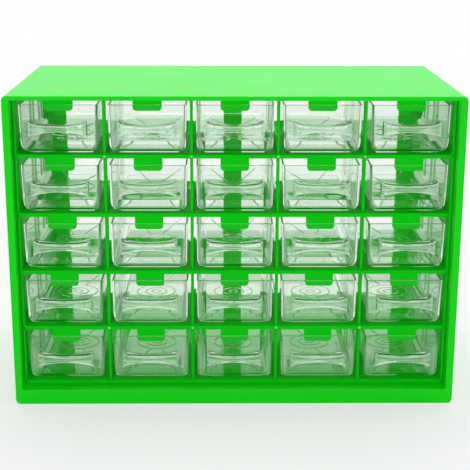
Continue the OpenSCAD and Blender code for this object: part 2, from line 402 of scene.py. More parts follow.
class Shader:
    """Builds the node tree of a material or of the world."""

    def __init__(self, owner: bpy.types.ID) -> None:
        """Empties the owner's node tree.

        Args:
            owner: a material or a world.
        """
        owner.use_nodes = True
        self.tree = owner.node_tree
        self.tree.nodes.clear()

    def node(
        self, kind: str, settings: dict[str, Any], links: dict[str | int, Any],
        output: str | int = 0,
    ) -> Value:
        """Adds one node.

        Args:
            kind: the node's type, such as ShaderNodeMath.
            settings: properties to set before its sockets.
            links: values or links of its input sockets, by name or number.
            output: the output socket to return.

        Returns:
            The chosen output, ready for maths.
        """
        made = self.tree.nodes.new(kind)
        for name, value in settings.items():
            setattr(made, name, value)
        for key, value in links.items():
            if isinstance(value, Value):
                self.tree.links.new(value.socket, made.inputs[key])
            else:
                made.inputs[key].default_value = value
        return Value(self, made.outputs[output] if made.outputs else None)

    def place(self) -> Value:
        """The point's place on the part, in metres."""
        return self.node("ShaderNodeTexCoord", {}, {}, "Object")

    def axis(self, vector: Value, name: str) -> Value:
        """One part of a vector."""
        return self.node("ShaderNodeSeparateXYZ", {}, {"Vector": vector}, name)

    def ray(self, kind: Ray) -> Value:
        """What the light path tells of the ray."""
        return self.node("ShaderNodeLightPath", {}, {}, kind.value)

    def any_ray(self, *kinds: Ray) -> Value:
        """One on rays of any of the kinds, and zero on the others."""
        return reduce(Value.most, [self.ray(kind) for kind in kinds])

    def noise(self, size: float, detail: float, stretch: Triple = ALL_WAYS) -> Value:
        """Smooth noise of 0 to 1 around its middle.

        Args:
            size: width of its patches, in metres.
            detail: how many finer layers it has.
            stretch: how much finer it runs along each axis.

        Returns:
            The noise's value.
        """
        links = {"Vector": self.place(), "Scale": stretch}
        place = self.node("ShaderNodeMapping", {}, links)
        links = {"Vector": place, "Scale": 1 / size, "Detail": detail}
        return self.node("ShaderNodeTexNoise", {}, links, "Fac")

    def blend(self, factor: Any, first: Triple, second: Triple) -> Value:
        """Mixes two colours, the second by the factor."""
        links = {0: factor, FIRST_COLOUR: (*first, 1), SECOND_COLOUR: (*second, 1)}
        return self.node("ShaderNodeMix", {"data_type": "RGBA"}, links, MIXED_COLOUR)

    def lit(self, kind: str, colour: Triple, strength: float) -> Value:
        """A light of one colour, from a surface or from the background."""
        return self.node(kind, {}, {"Color": (*colour, 1), "Strength": strength})

    def mix(self, factor: Any, first: Value, second: Value) -> Value:
        """Mixes two surfaces or backgrounds, the second by the factor."""
        return self.node("ShaderNodeMixShader", {}, {0: factor, 1: first, 2: second})

    def fade(self, value: Value, start: float, end: float, low: float = 0.0) -> Value:
        """Goes from low to one as the value goes from start to end."""
        ends = {"From Min": start, "From Max": end, "To Min": low, "To Max": 1.0}
        return self.node("ShaderNodeMapRange", {}, {"Value": value, **ends})

    def bump(self, height: Value, rise: float) -> Value:
        """A normal that follows a height of 0 to 1, which rises by so many metres."""
        links = {"Height": height, "Distance": rise, "Strength": 1.0}
        return self.node("ShaderNodeBump", {}, links)

    def plastic(self, **links: Any) -> Value:
        """A plastic surface, its sockets named with underscores for spaces."""
        named = {name.replace("_", " "): value for name, value in links.items()}
        return self.node("ShaderNodeBsdfPrincipled", {}, named)

    def finish(self, surface: Value, kind: str = "ShaderNodeOutputMaterial") -> None:
        """Sends the surface to the tree's output."""
        self.node(kind, {}, {"Surface": surface})


@dataclass(frozen=True)
class MouldedPlastic:
    """Opaque plastic from a polished mould, with faint flow marks and smears."""

    name: str
    colour: Triple
    pale: Triple
    gloss: float
    smear: float
    skin: float
    shine: float
    flow_size: float = 70 * MM
    flow_stretch: Triple = (0.35, 1, 1)
    flow_pales: float = 0.6
    flow_rises: float = 4
    speck_size: float = 1.6 * MM
    speck_pales: float = 0.15
    smear_size: float = 22 * MM
    grain_size: float = 0.9 * MM

    def material(self) -> bpy.types.Material:
        """Builds the material.

        Returns:
            The material, named after the finish.
        """
        made = bpy.data.materials.new(self.name)
        shader = Shader(made)
        flow = shader.noise(self.flow_size, detail=3, stretch=self.flow_stretch)
        speck = shader.noise(self.speck_size, detail=2)
        smears = shader.noise(self.smear_size, detail=4)
        grain = shader.noise(self.grain_size, detail=2)
        paler = flow * self.flow_pales + speck * self.speck_pales
        shader.finish(shader.plastic(
            Base_Color=shader.blend(paler, self.colour, self.pale),
            Roughness=(smears - NOISE_MIDDLE) * self.smear + self.gloss,
            Specular_IOR_Level=self.shine,
            Normal=shader.bump(grain + flow * self.flow_rises, self.skin),
        ))
        return made


@dataclass(frozen=True)
class ClearPlastic:
    """Clear polystyrene, faintly wavy from the mould, with a green tinge that is painted
    reflection of the green casing.

    Edges where the drawers would catch light carry a pale, rough painted highlight, broken
    up by noise. Light that has been mirrored inside a wall more often than the limit
    leaves it straight.
    """

    name: str
    green_reflection_tint: Triple
    passed: Triple
    painted_highlight: Triple
    index: float
    haze: float
    wave: float
    mirrored: float = 1.5
    wave_size: float = 14 * MM
    wave_stretch: Triple = (1, 0.5, 1)
    smear_size: float = 5 * MM
    smear_pales: float = 0.3
    highlight_breakup_size: float = 2 * MM
    highlight_least: float = 0.7
    highlight_spread: float = 0.6
    highlight_rough: float = 0.5

    def material(self) -> bpy.types.Material:
        """Builds the material.

        Returns:
            The material, named after the finish.
        """
        made = bpy.data.materials.new(self.name)
        shader = Shader(made)
        wave = shader.noise(self.wave_size, detail=2, stretch=self.wave_stretch)
        smears = shader.noise(self.smear_size, detail=4)
        highlight_breakup = shader.noise(self.highlight_breakup_size, detail=3)
        clear = shader.plastic(
            # Painted reflection of the green casing gives the clear plastic its green
            # tinge.
            Base_Color=shader.blend(smears * self.smear_pales, self.green_reflection_tint, WHITE),
            Roughness=smears * self.haze,
            IOR=self.index,
            Transmission_Weight=1.0,
            Normal=shader.bump(wave, self.wave),
        )
        # Painted highlight: a pale, opaque surface on the edges where the drawers would
        # catch light.
        highlight_paint = shader.plastic(
            Base_Color=(*self.painted_highlight, 1), Roughness=self.highlight_rough
        )
        settings = {"attribute_name": "painted_highlight"}
        painted_highlight = shader.node("ShaderNodeAttribute", settings, {}, "Fac")
        share = painted_highlight * (highlight_breakup * self.highlight_spread + self.highlight_least)
        with_highlight = shader.mix(share.least(1.0), clear, highlight_paint)
        links = {"Color": (*self.passed, 1)}
        through = shader.node("ShaderNodeBsdfTransparent", {}, links)
        deep = shader.ray(Ray.TIMES_MIRRORED).above(self.mirrored)
        straight = shader.any_ray(Ray.SHADOW, Ray.DIFFUSE).most(deep)
        shader.finish(shader.mix(straight, with_highlight, through))
        return made


def dress(
    piece: bpy.types.Object, body: str, slot: str, finish: bpy.types.Material,
    *nodes: str,
) -> None:
    """Gives a piece its finish and its place in the frame.

    Args:
        piece: the finished piece.
        body: the CAD body it moves with.
        slot: the record's material slot; not used.
        finish: its material.
        nodes: CAD nodes it stands for.
    """
    piece.data.materials.append(finish)
    if nodes:
        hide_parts(*nodes)
    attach(piece, body)
    LOG.info("built %s: %d faces", piece.name, len(piece.data.polygons))


# ---- casing


@dataclass
class Casing:
    """The moulded casing: tube, windowed back wall and hollow base. In millimetres."""

    finish: MouldedPlastic
    width: float = 300
    depth: float = 158.5
    height: float = 212.5
    side_wall: float = 5
    top_wall: float = 3
    back_wall: float = 2.5
    floor_top: float = 10.4
    corner_r: float = 3.2
    rim_r: float = 0.7
    inside_r: float = 0.8
    rim_steps: int = 3
    corner_steps: int = 6
    windows: tuple[int, int] = (2, 4)
    mullion: float = 14.2
    window_bar: float = 13
    window_side: float = 15.5
    window_foot: float = 14.5
    window_head: float = 4.4
    window_r: float = 1.5
    window_edge: float = 0.5
    floor_wall: float = 2.5
    skirt_wall: float = 3
    rib: float = 2
    pockets: tuple[int, int] = (5, 3)
    pocket_r: float = 1.2
    pocket_fillet: float = 1
    pocket_edge: float = 0.4
    pocket_bend: float = 0.3
    pocket_steps: int = 3
    mark_r: float = 2
    mark_in: float = 13.5
    mark_depth: float = 0.3
    mark_patch: float = 4
    mark_slope: float = 0.12
    mark_edge: float = 0.04
    mark_foot: float = 0.05
    mark_fillet: float = 0.3
    surface: Surface = field(default_factory=Surface)

    @property
    def inner(self) -> Box:
        """Left, right, lowest and highest of the inside."""
        half = self.width / 2 - self.side_wall
        return -half, half, self.floor_top, self.height - self.top_wall

    def shell(self) -> None:
        """Adds the tube, from its back edge forward round the rim to the inside's back.

        Each ring is the outer or the inner rectangle, moved by the quarter round of the
        edges. The inner one ends with sharp corners, as the back wall's plates have.
        The underside stays open for the base, and the lip's front for its mark.
        """
        steps, corner = self.rim_steps, self.corner_steps
        half, back = self.width / 2, self.depth - self.back_wall
        outer = (-half, half, 0, self.height)
        outside = rounded_run(self.depth, 0, self.rim_r, steps)
        mouth = quarter(self.rim_r, steps)
        rings = [
            (self.inner, 0, 0, self.depth),
            *((outer, inset, self.corner_r, at) for inset, at in outside),
            *((self.inner, -outset, self.inside_r, down) for outset, down in mouth),
            (self.inner, 0, self.inside_r, back),
            (self.inner, 0, 0, back),
        ]
        open_quads = np.zeros((len(rings) - 1, 4 * (corner + 1)), bool)
        open_quads[[steps + 1, 2 * steps + 2], -1] = True
        self.surface.loft(rings, corner, leave_out=open_quads)

    def lip_front(self) -> None:
        """Adds the lip's front with the round ejector mark at its left end.

        Rings go from a patch's border to the circle, in over its small edge and down to
        the mark's floor. Plain strips fill the lip at both sides, and slant to the
        inside's corners at their outer ends.
        """
        foot = self.width / 2 - self.corner_r
        head = self.inner[1] - self.inside_r
        low, high = self.rim_r, self.floor_top - self.rim_r
        x, z = self.mark_in - self.width / 2, self.floor_top / 2
        left, right = x - self.mark_patch, x + self.mark_patch
        circles = (
            (self.mark_r + self.mark_slope, 0),
            (self.mark_r, self.mark_edge),
            (self.mark_r - self.mark_edge, self.mark_depth - self.mark_foot),
            (self.mark_r - self.mark_fillet, self.mark_depth),
            (0, self.mark_depth),
        )
        rings = [((x, x, z, z), -radius, 0, depth) for radius, depth in circles]
        patch = ((left, right, low, high), 0, 0, 0)
        self.surface.loft([patch, *rings], self.corner_steps)
        for ends in (((-foot, -head), (left, left)), ((right, right), (foot, head))):
            strip = [[[down, RIM_Y, low], [up, RIM_Y, high]] for down, up in ends]
            self.surface.grid(np.array(strip[::-1]), closed=False)

    def back(self) -> None:
        """Adds the back wall as a grid of plates, each with one window."""
        left, right, low, high = self.inner
        across = (left + self.window_side, right - self.window_side)
        upward = (low + self.window_foot, high - self.window_head)
        depth = (self.depth - self.back_wall, self.depth)
        edge, radius = self.window_edge, self.window_r
        for x, z in product(
            bays((left, right), across, self.mullion, self.windows[0]),
            bays((low, high), upward, self.window_bar, self.windows[1]),
        ):
            plate, window = (*x[:2], *z[:2]), (*x[2:], *z[2:])
            self.surface.holed_plate(plate, window, depth, edge, radius)

    def base(self) -> None:
        """Adds the underside: one pocket in each cell of a grid of skirt and ribs.

        A pocket's rings go from the middle of its ceiling outward, down its wall and
        out to the cell's border, each at its height.
        """
        left, right = self.inner[:2]
        half = self.width / 2 - self.corner_r
        border = (self.rim_r, self.depth - self.rim_r)
        along = (self.skirt_wall, self.depth - self.skirt_wall)
        top = self.floor_top - self.floor_wall
        fillet, edge, bend = self.pocket_fillet, self.pocket_edge, self.pocket_bend
        for x, d in product(
            bays((-half, half), (left, right), self.rib, self.pockets[0]),
            bays(border, along, self.rib, self.pockets[1]),
        ):
            cell, pocket = (*x[:2], *d[:2]), (*x[2:], *d[2:])
            profile = (
                (min(x[3] - x[2], d[3] - d[2]) / 2, top),
                (fillet, top),
                (bend * fillet, top - bend * fillet),
                (0, top - fillet),
                (0, edge),
                (-bend * edge, bend * edge),
                (-edge, 0),
            )
            rings = [(pocket, inset, self.pocket_r, z) for inset, z in profile]
            self.surface.loft([*rings, (cell, 0, 0, 0)], self.pocket_steps, lying=True)

    def build(self) -> None:
        """Builds and dresses the casing."""
        self.shell()
        self.lip_front()
        self.back()
        self.base()
        piece = self.surface.piece("casing_moulding")
        dress(piece, "cabinet", "casing_plastic", self.finish.material(), "casing")


# ---- lattice


@dataclass
class Lattice:
    """The one-piece lattice of shelves, posts, ledges and tabs. In millimetres."""

    casing: Casing
    finish: MouldedPlastic
    gate_finish: MouldedPlastic
    columns: int = 5
    rows: int = 5
    inset: float = 10.5
    end_margin: float = 2
    gap: float = 0.2
    bar_height: float = 2.9
    bar_depth: float = 8
    post: float = 2
    post_step: float = 2
    end_rail: float = 1.6
    top_rail: float = 1.4
    cell_r: float = 1.2
    edge: float = 0.35
    bar_edge: float = 0.7
    bar_steps: int = 4
    let_in: float = 1
    ledge_let_in: float = 1.5
    ledge_end: float = 83
    ledge: float = 7.6
    ledge_height: float = 2.2
    guide_height: float = 3
    tab: float = 19
    tab_drop: float = 8.1
    tab_thick: float = 1.8
    tab_r: float = 2.4
    tab_steps: int = 3
    tab_corner: int = 6
    gate_r: float = 0.8
    gate_height: float = 0.4
    gate_edge: float = 0.3
    gate_let_in: float = 0.6
    gate_steps: int = 3
    gate_corner: int = 4
    hidden: float = 0.02
    surface: Surface = field(default_factory=Surface)
    marks: Surface = field(default_factory=Surface)

    def __post_init__(self) -> None:
        """Works out the posts and shelves, and the walls round the cells.

        The shelves go from the top row down. The walls' places, and how far each
        reaches into the cells beside it, go from left to right and from the bottom up.
        """
        left, right, self.low, high = self.casing.inner
        columns, rows = self.columns, self.rows
        bar, post = self.bar_height, self.post / 2
        self.top, self.half = high - self.gap, right - self.gap
        self.back = self.inset + self.bar_depth
        self.post_front = self.inset + self.post_step
        pitch = (right - left - 2 * self.end_margin) / columns
        self.clear = (high - self.low - rows * bar) / rows
        self.posts = (np.arange(columns + 1) - columns / 2) * pitch
        self.shelves = self.low + bar + np.arange(rows)[::-1] * (self.clear + bar)
        self.across = np.array([-self.half, *self.posts[1:-1], self.half])
        self.upward = np.array([self.low, *(self.shelves[-2::-1] - bar / 2), self.top])
        self.beside = np.array([self.end_rail, *[post] * (columns - 1), self.end_rail])
        self.above = np.array([bar, *[bar / 2] * (rows - 1), self.top_rail])

    def cell_sides(self, i: int) -> Span:
        """Left and right of the cells in a column, counted from 0."""
        left, right = self.across[i:i + 2]
        return left + self.beside[i], right - self.beside[i + 1]

    def from_side(self, side: int, *reach: float) -> list[float]:
        """Places across that are so far in from one side, -1 or 1, in rising order."""
        return sorted(side * (self.half - inward) for inward in reach)

    def plate(self) -> None:
        """Adds the plate of the posts, one round-cornered hole to each cell."""
        depth = (self.post_front, self.back)
        for j, i in product(range(self.rows)[::-1], range(self.columns)):
            low, high = self.upward[j:j + 2]
            border = (*self.across[i:i + 2], low, high)
            hole = (*self.cell_sides(i), low + self.above[j], high - self.above[j + 1])
            self.surface.holed_plate(border, hole, depth, self.edge, self.cell_r)

    def rim(self) -> None:
        """Closes the plate's border with one strip from its back to its front.

        The strip's outline goes round the border and has a point wherever two cells
        meet on it, so it joins the plate point for point.
        """
        half, wide, tall = self.half, np.ones(self.columns), np.ones(self.rows)
        across, upward = self.across, self.upward
        x = np.concatenate([across[:-1], half * tall, across[:0:-1], -half * tall])
        z = [self.low * wide, upward[:-1], self.top * wide, upward[:0:-1]]
        z = np.concatenate(z)
        depths = (self.back, self.post_front)
        strip = [np.column_stack([x, np.full_like(x, RIM_Y + at), z]) for at in depths]
        self.surface.grid(np.stack(strip))

    def fronts(self) -> None:
        """Adds the bars and rails before the posts, each let in a little."""
        depth = (self.inset, self.post_front + self.let_in)
        lets, half, top = self.hidden, self.half, self.top
        for high in self.shelves:
            bar = (-half, half, high - self.bar_height + lets, high - lets)
            self.surface.block(bar, depth, self.bar_edge, steps=self.bar_steps)
        rail = (-half, half, top - self.top_rail + lets, top)
        self.surface.block(rail, depth, self.edge)
        for side in (-1, 1):
            ends = self.from_side(side, 0, self.end_rail - lets)
            self.surface.block((*ends, self.low, top - lets), depth, self.edge)

    def ledges(self) -> None:
        """Adds the ledges that carry the drawers and the guide ribs between them."""
        lets = self.hidden
        run = (self.back - self.ledge_let_in, self.ledge_end)
        for high, i in product(self.shelves, range(self.columns + 1)):
            if 0 < i < self.columns:
                post = self.posts[i]
                left, right = post - self.post / 2, post + self.post / 2
                ledge = (left - self.ledge, right + self.ledge)
            else:
                side = -1 if i == 0 else 1
                left, right = self.from_side(side, 0, self.end_rail)
                ledge = self.from_side(side, 0, self.end_rail + self.ledge)
            shelf = (*ledge, high - self.ledge_height, high - lets)
            self.surface.block(shelf, run, self.edge)
            guide = (high - self.let_in, high + self.guide_height)
            self.surface.block((left + lets, right - lets, *guide), run, self.edge)

    def tabs(self) -> None:
        """Adds the stop tabs, flush with the fronts they hang from."""
        depth = (self.inset - self.hidden / 2, self.inset + self.tab_thick)
        for row, i in product(range(self.rows), range(self.columns)):
            ceiling = self.shelves[row] + self.clear
            top = ceiling + self.bar_height - self.bar_edge if row else self.top
            middle = sum(self.cell_sides(i)) / 2
            sides = (middle - self.tab / 2, middle + self.tab / 2)
            box = (*sides, ceiling - self.tab_drop, top)
            self.surface.block(
                box, depth, self.edge, self.tab_r, self.tab_steps, self.tab_corner
            )

    def gates(self) -> None:
        """Adds the low domes that the mould's gates left on two of the bars."""
        reach, edge = self.gate_r, self.gate_edge
        depth = (self.inset - self.gate_height, self.inset + self.gate_let_in)
        for high, x in product(self.shelves[[0, -2]], self.posts[1:-1]):
            z = high - self.bar_height / 2
            box = (x - reach, x + reach, z - reach, z + reach)
            self.marks.block(
                box, depth, edge, reach, self.gate_steps, self.gate_corner
            )

    def build(self) -> None:
        """Builds and dresses the lattice and its gate marks."""
        self.plate()
        self.rim()
        self.fronts()
        self.ledges()
        self.tabs()
        piece, slot = self.surface.piece("lattice_moulding"), "lattice_plastic"
        dress(piece, "cabinet", slot, self.finish.material(), "divider_lattice")
        self.gates()
        piece = self.marks.piece("gate_marks")
        dress(piece, "cabinet", slot, self.gate_finish.material())


# ---- drawers


@dataclass
class Drawers:
    """The clear drawers: a tub on a nose-shaped front, and its grip. In millimetres."""

    finish: ClearPlastic
    nodes: Sequence[str]
    width: float = 51.5
    height: float = 32.72
    front: float = 8.5
    back: float = 153.5
    wall: float = 1.3
    end_wall: float = 1.6
    floor: float = 1.5
    lean: float = 0.7
    foot_r: float = 0.6
    belly_r: float = 6.5
    nose_r: float = 11
    heel_r: float = 3
    least_r: float = 0.3
    bend_steps: int = 8
    arc: int = 5
    rim_r: float = 0.45
    rim_steps: int = 3
    post_r: float = 1.6
    inner_r: float = 0.8
    front_share: float = 0.86
    side_points: tuple[float, ...] = (28, 38, 54, 66, 73, 79, 90, 104, 115, 130)
    slot_at: Span = (40, 76)
    slot_space: float = 11
    rib_wide: float = 1
    rib_high: float = 0.7
    rib_foot: float = 9
    rib_head: float = 0.6
    rib_step: float = 0.2
    rib_clear: float = 0.3
    slope: float = 0.12
    rings: Triple = (14.5, 8, 3.5)
    line: float = 0.8
    line_high: float = 0.35
    line_slope: float = 0.15
    line_gap: float = 2
    pinch: float = 3
    grip: float = 37.5
    grip_end: float = 8
    grip_waist: float = 3.5
    grip_out: float = 7
    grip_slope: float = 0.7
    grip_edge: float = 0.35
    grip_flat: float = 0.3
    grip_face: Span = (0.7, 0.45)
    grip_stations: int = 13
    grip_steps: int = 3
    plate_steps: int = 2
    grip_z: float = 17.6
    plate_high: float = 9.2
    plate_wide: float = 1.4
    root_r: float = 0.6
    patch_z: Span = (11.6, 23.6)
    # How much painted highlight the rim, slot ribs, floor lines, upright corners and grip
    # take, where their edges would catch light.
    rim_highlight: float = 0.35
    rib_highlight: float = 0.3
    line_highlight: float = 0.45
    post_highlight: float = 0.25
    grip_highlight: tuple[float, ...] = (
        0, 0, 0, 0, 0.05, 0.4, 0.85, 0.9, 0.7, 0.25, 0.2, 0.45
    )

    def __post_init__(self) -> None:
        """Works out where an outline has points, and which of them are raised.

        Each corner and each end has as many points as arc says, and each long side
        those of the ribs' edges and the plain ones. The crossed lines of the floor lie
        in the corners, and their profile has as many points.
        """
        pairs = product(self.slot_at, (0, self.slot_space + self.rib_wide))
        ribs = np.array([self.front + slot + other for slot, other in pairs])
        wide, slope = self.rib_wide, self.slope
        edges = ribs[:, None] + np.array([0, slope, wide - slope, wide])
        self.along = np.sort([*edges.ravel(), *self.side_points])
        past = self.along[:, None] - ribs
        on_rib = (past > slope / 2) & (past < wide - slope / 2)
        self.rib = on_rib.any(axis=1).astype(float)
        self.end, self.side = np.zeros(self.arc), np.zeros(len(self.along))
        corner = np.array([0, 1, 1, 1, 0])
        self.crossed = np.concatenate([corner, self.side, corner, self.end] * 2)
        half = self.line / 2
        foot = half + self.line_slope
        self.line_across = np.array([-foot, -half, 0, half, foot])
        self.reach_x = self.side_x(self.belly_r) - self.belly_r - self.line_gap
        self.reach_y = (self.back - self.front) / 2 - self.nose_r - self.line_gap
        self.middle = (self.front + self.back) / 2

    def side_x(self, z: float) -> float:
        """Half width of the leaning walls at a height."""
        return self.width / 2 - (self.height - z) * self.lean / self.height

    def front_x(self, half: float, radius: float) -> float:
        """How far the outermost points of an outline's front are from its middle."""
        return self.front_share * (half - radius)

    def ring(
        self, z: float, radius: float, wall: float = 0.0, end: float = 0.0,
        base: float = 0.0, reach: float = 0.0,
    ) -> Array:
        """One outline of the tub, counterclockwise seen from above.

        The half width is the leaning wall's, or below the belly's turn that of its
        circle: the centre plus the root of radius squared less height below the centre
        squared. The front and back come in on the nose's and heel's circles likewise.

        Args:
            z: height over the drawer's underside.
            radius: radius of the upright corners.
            wall: how far the side is inside the outer face.
            end: how far the front and back are inside the outer faces.
            base: height of the surface's own bottom.
            reach: how far the slot ribs stand in from the side.

        Returns:
            Points across, in depth and in height.
        """
        radii = (self.belly_r, self.nose_r, self.heel_r)
        belly, nose, heel = (max(r - base, self.least_r) for r in radii)

        def come_in(r: float) -> float:
            """How far a circle is inside its upright face at this height."""
            down = max(base + r - z, 0.0)
            return r - math.sqrt(max(r * r - down * down, 0.0))

        half = self.side_x(max(z, base + belly)) - wall - come_in(belly)
        front = self.front + end + come_in(nose)
        back = self.back - end - come_in(heel)
        outline = rounded_outline((-half, half, front, back), radius, self.arc - 1)
        corners = outline.reshape(4, self.arc, 2)
        right = np.column_stack([half - self.rib * reach, self.along])
        left = right[::-1] * (-1, 1)
        spread = np.linspace(-1, 1, self.arc) * self.front_x(half, radius)
        rear = np.column_stack([-spread, self.end + back])
        fore = np.column_stack([spread, self.end + front])
        between = zip(corners, (right, rear, left, fore))
        flat = np.concatenate([part for pair in between for part in pair])
        return np.column_stack([flat, np.full(len(flat), z)])

    def floor_ring(self, radius: float, raised: bool, lines: bool) -> Array:
        """One circle of the floor's pattern, the crossed lines' points in its corners.

        A corner's points lie across its diagonal at the line's half width, at the
        circle's distance along it. The others divide the arc between two corners
        evenly.

        Args:
            radius: the circle's radius.
            raised: whether the whole circle stands up.
            lines: whether the crossed lines stand up here.

        Returns:
            Points across, in depth and in height.
        """
        turn = math.atan2(self.reach_x, self.reach_y)
        half_turn = 2 * QUARTER_TURN
        diagonals = [turn - QUARTER_TURN, QUARTER_TURN - turn]
        diagonals += [angle + half_turn for angle in diagonals]
        diagonals.append(diagonals[0] + 2 * half_turn)
        shift = self.line_across / max(radius, self.pinch)
        parts = []
        for index, between in enumerate((self.side, self.end) * 2):
            start, end = diagonals[index:index + 2]
            run = np.linspace(start + shift[-1], end - shift[-1], len(between) + 2)
            parts += [start + shift, run[1:-1]]
        angle = np.concatenate(parts)
        up = np.ones(len(angle)) if raised else self.crossed * lines
        x, y = radius * np.cos(angle), self.middle + radius * np.sin(angle)
        return np.column_stack([x, y, self.floor + up * self.line_high])

    def line_end(self, border: Array, inward: float, raised: bool) -> Array:
        """The outline at which the crossed lines end, a little inside the border.

        Args:
            border: the outline of the flat floor.
            inward: how far inside the lines' own reach it lies.
            raised: whether the lines stand up here.

        Returns:
            Points across, in depth and in height.
        """
        reach = np.array([self.reach_x, self.reach_y])
        long = math.hypot(*reach)
        flat = np.clip(border[:, :2] - (0, self.middle), -reach, reach)
        flat *= 1 - inward / long
        long_side = self.arc + len(self.along)
        starts = np.cumsum([0, long_side, 2 * self.arc, long_side])
        for start, way in zip(starts, ((1, -1), (1, 1), (-1, 1), (-1, -1))):
            direction = way * reach / long
            normal = direction[::-1] * (-1, 1)
            across = self.line_across[:, None] * normal
            flat[start:start + self.arc] = direction * (long - inward) + across
        height = self.floor + self.crossed * self.line_high * raised
        return np.column_stack([flat + (0, self.middle), height])

    def tub(self) -> tuple[Array, Array, Array]:
        """The tub as one grid: up outside, over the rim, down inside, over the floor.

        Returns:
            Points of shape (outlines, points, 3), with depth behind the rim as the
            second, the mask of the quads that stay open for the patch round the grip,
            and each point's painted highlight: posts, rim, slot ribs and the floor's
            lines.
        """
        bend = 1 - np.cos(np.linspace(0, QUARTER_TURN, self.bend_steps + 1))
        outer_z = self.nose_r * bend
        inner_z = (self.floor + (self.nose_r - self.floor) * bend)[::-1]
        # Painted highlight along the slot ribs, upright corners and floor lines.
        end, side, rib = self.end, self.side, self.rib * self.rib_highlight
        post = end + self.post_highlight
        ribs = np.concatenate([end, rib, end, end, end, rib[::-1], end, end])
        posts = np.concatenate([post, side, end, end, end, side, post, end])
        lines = self.crossed * self.line_highlight
        rows, painted_highlight = [], []

        def add(points: Array, highlight_share: Array | float = 0.0) -> None:
            """Adds one outline and its painted highlight."""
            rows.append(points)
            painted_highlight.append(np.broadcast_to(highlight_share, len(points)))

        foot = self.ring(0, self.foot_r)
        centre = foot * (0, 0, 1) + (0, self.middle, 0)
        add(centre)
        for z in (*outer_z, *self.patch_z):
            add(self.ring(z, self.post_r), posts * (z > 0))
        mouth = len(rows) - 2
        over = quarter(self.rim_r, self.rim_steps)
        for index, (inset, down) in enumerate(over[::-1]):
            highlight_share = self.rim_highlight * index / self.rim_steps
            add(self.ring(self.height - down, self.post_r, inset, inset), highlight_share)
        inside = (self.inner_r, self.wall, self.end_wall, self.floor)
        for index, (inset, down) in enumerate(over):
            walls = (self.wall - inset, self.end_wall - inset)
            highlight_share = self.rim_highlight * (1 - index / self.rim_steps)
            add(self.ring(self.height - down, self.inner_r, *walls, self.floor), highlight_share)
        head = self.height - self.rib_head
        add(self.ring(head, *inside))
        ribbed = inner_z[inner_z > self.rib_foot + self.rib_clear]
        for z in (head - self.rib_step, *ribbed, self.rib_foot + self.rib_step):
            add(self.ring(z, *inside, self.rib_high), ribs)
        for z in (self.rib_foot, *inner_z[inner_z < self.rib_foot - self.rib_step]):
            add(self.ring(z, *inside))
        border = rows[-1]
        add(self.line_end(border, 0, False))
        add(self.line_end(border, self.line_slope, True), lines)
        for radius, crossed in zip(self.rings, (True, False, False)):
            inner = radius - self.line
            add(self.floor_ring(radius + self.slope, False, crossed), lines * crossed)
            add(self.floor_ring(radius, True, crossed), self.line_highlight)
            add(self.floor_ring(inner, True, False), self.line_highlight)
            add(self.floor_ring(inner - self.slope, False, False))
        add(centre + (0, 0, self.floor))
        grid = np.stack(rows)
        open_quads = np.zeros((len(grid) - 1, grid.shape[1]), bool)
        open_quads[mouth, -self.arc:-1] = True
        return grid, open_quads, np.stack(painted_highlight)

    def patch(self, handle: Array) -> list[Array]:
        """The front wall round the grip's root, as a strip below it and one above.

        Each strip joins the grip's root points, with one more at the patch's two sides,
        to the points straight below or above them on the patch's border.

        Args:
            handle: the grip's grid.

        Returns:
            Two grids, each of two rows.
        """
        edges = [self.front_x(self.side_x(z), self.post_r) for z in self.patch_z]
        middle = sum(edges) / 2
        strips = []
        for z, edge, points, order in zip(
            self.patch_z, edges, (handle[:, -1], handle[:, 0]), (-1, 1)
        ):
            x, root = points[:, 0], points[:, 2]
            near_x, near_z = (-middle, *x, middle), (self.grip_z, *root, self.grip_z)
            depth = np.full(len(near_x), self.front)
            near = np.column_stack([near_x, depth, near_z])
            far = np.column_stack([(-edge, *x, edge), depth, np.full(len(near_x), z)])
            strips.append(np.stack([near, far][::order]))
        return strips[::-1]

    def section(
        self, x: float, half: float, front: float, slope: float, inset: float = 0.0
    ) -> Array:
        """One station of the grip, from its upper root round the front to the lower.

        The front face falls back from its ridge in proportion to the height above or
        below it. At the wall the grip widens by a hollow quarter round.

        Args:
            x: the station's place across.
            half: the grip's half height there.
            front: depth of the ridge.
            slope: how far the face falls back over the grip's height.
            inset: how far the outline moves in.

        Returns:
            Points across, in depth and in height.
        """
        high, edge = half - inset, self.grip_edge

        def face(share: float) -> float:
            """Depth of the front face at a share of the half height."""
            return front + slope * high * share / self.grip_end + inset

        root_out, root_down = np.array(quarter(self.root_r, self.grip_steps)).T
        edge_out, edge_down = np.array(quarter(edge, self.grip_steps)[::-1]).T
        shares = np.array(self.grip_face)
        start, flat = self.front - root_down, face(1) + edge + self.grip_flat
        z = np.array([*(high + root_out), high, *(high - edge_out), *(high * shares)])
        d = np.array([*start, flat, *(face(1) + edge_down), *face(shares)])
        z, d = [*z, 0.0, *-z[::-1]], [*d, front + inset, *d[::-1]]
        return np.column_stack([np.full(len(z), x), d, np.add(z, self.grip_z)])

    def handle(self) -> Array:
        """The grip and its two end plates as one grid along the width.

        The grip's half height is the waist's plus the hollow's: R - root(R^2 - x^2),
        with R the radius through the waist and the ends.

        Returns:
            Points of shape (stations, points, 3), open at the drawer's front wall.
        """
        ridge = self.front - self.grip_out
        chord = self.grip / 2 - self.plate_wide
        rise = (self.grip_end - self.grip_waist) / 2
        hollow = (chord * chord + rise * rise) / (2 * rise)
        right = []
        for x in np.linspace(0, chord, self.grip_stations):
            half = self.grip_waist / 2 + hollow - math.sqrt(hollow * hollow - x * x)
            right.append(self.section(x, half, ridge, self.grip_slope))
        front, plate = ridge + self.grip_slope, self.plate_high / 2
        steps = self.plate_steps
        for inset, x in rounded_run(chord, self.grip / 2, self.grip_edge, steps):
            right.append(self.section(x, plate, front, 0.0, inset))
        right.append(right[-1] * (1, 1, 0) + (0, 0, self.grip_z))
        right_side = np.stack(right)
        return np.concatenate([right_side[:0:-1] * (-1, 1, 1), right_side])

